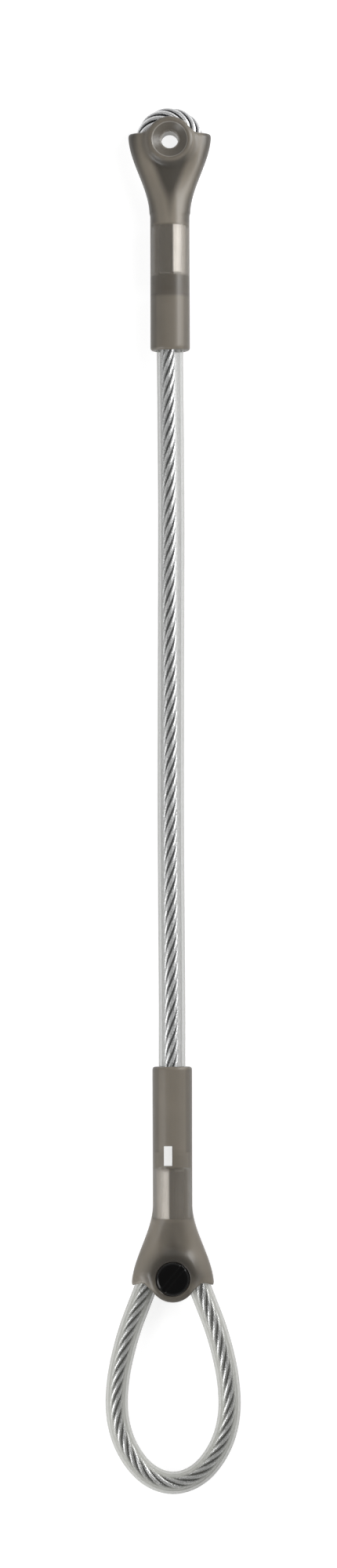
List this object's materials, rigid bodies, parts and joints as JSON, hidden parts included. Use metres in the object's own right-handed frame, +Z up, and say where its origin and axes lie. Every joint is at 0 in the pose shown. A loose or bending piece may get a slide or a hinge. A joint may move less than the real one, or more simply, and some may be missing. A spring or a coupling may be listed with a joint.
{
  "type": "wire rope sling",
  "caption": "Wire rope sling in clear sheath, with a small bushed eye at one end, a large open eye at the other, and moulded sleeves over its pressed ferrules.",
  "frame": {"origin": "on the table under the middle of the sling's bounding box", "axes": "+Y along the sling towards the small eye, +Z up from the table on the slotted side, +X to the right seen from above"},
  "size_m": [0.0505, 0.5212, 0.0157],
  "materials": {
    "rope": "galvanised wire, bright",
    "sheath": "clear, glossy",
    "sleeve": "smoky translucent, satin",
    "ferrule": "pressed, bare",
    "plug": "black, satin gloss"
  },
  "bodies": {
    "sling": {"wire_rope": "rope", "main_sheath": "sheath", "eye_sheath": "sheath", "top_sleeve": "sleeve", "lower_sleeve": "sleeve", "top_ferrule": "ferrule", "lower_ferrule": "ferrule", "plug_nut": "plug"},
    "plug": {"plug_screw": "plug"}
  },
  "joints": [
    {"name": "plug_turn", "type": "hinge", "parent": "sling", "child": "plug", "pos_m": [0, -0.1797, 0.0075], "axis": [0, 0, 1], "continuous": true}
  ]
}
